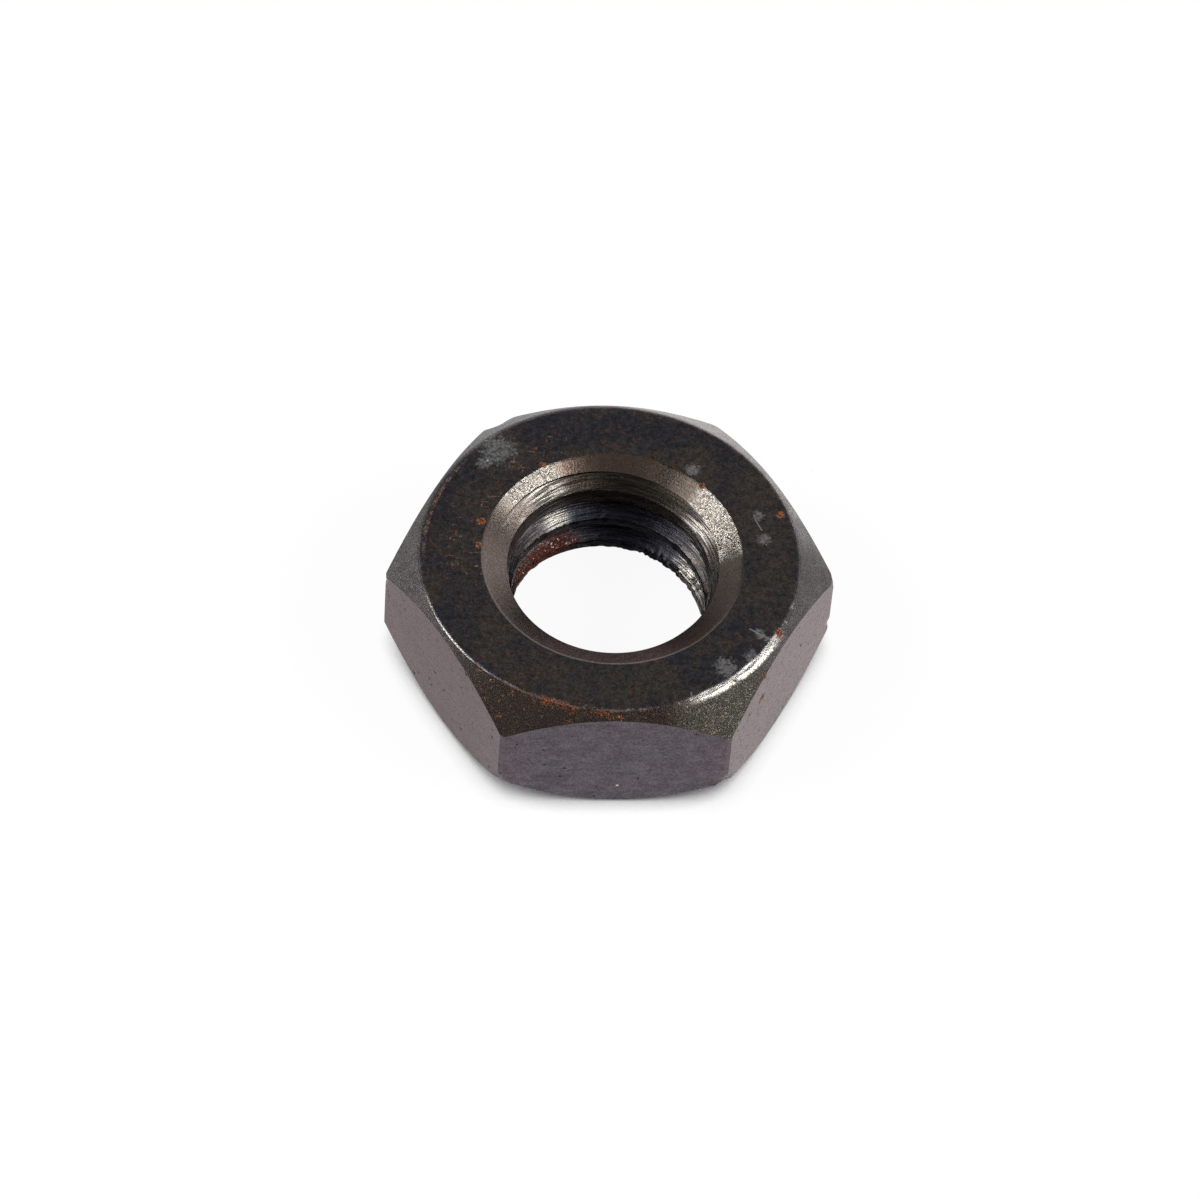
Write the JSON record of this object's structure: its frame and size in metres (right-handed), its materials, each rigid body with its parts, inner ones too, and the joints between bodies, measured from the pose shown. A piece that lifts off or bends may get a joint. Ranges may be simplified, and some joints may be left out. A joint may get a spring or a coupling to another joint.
{
  "type": "thin hexagon wheel nut",
  "caption": "Thin hexagon nut, chamfered on both end faces, with a countersunk right-hand threaded hole through its middle.",
  "frame": {"origin": "centre of the threaded hole on the lower end face, which the nut stands on", "axes": "+Z along the thread axis, from the lower end face to the upper one; two flats face +Y and -Y, two corners lie on +X and -X"},
  "size_m": [0.015, 0.013, 0.0048],
  "materials": {
    "black_steel": "black oxide, worn through at the edges and the countersinks, with light rust"
  },
  "bodies": {
    "root": {"wheel_nut": "black_steel"}
  },
  "joints": []
}
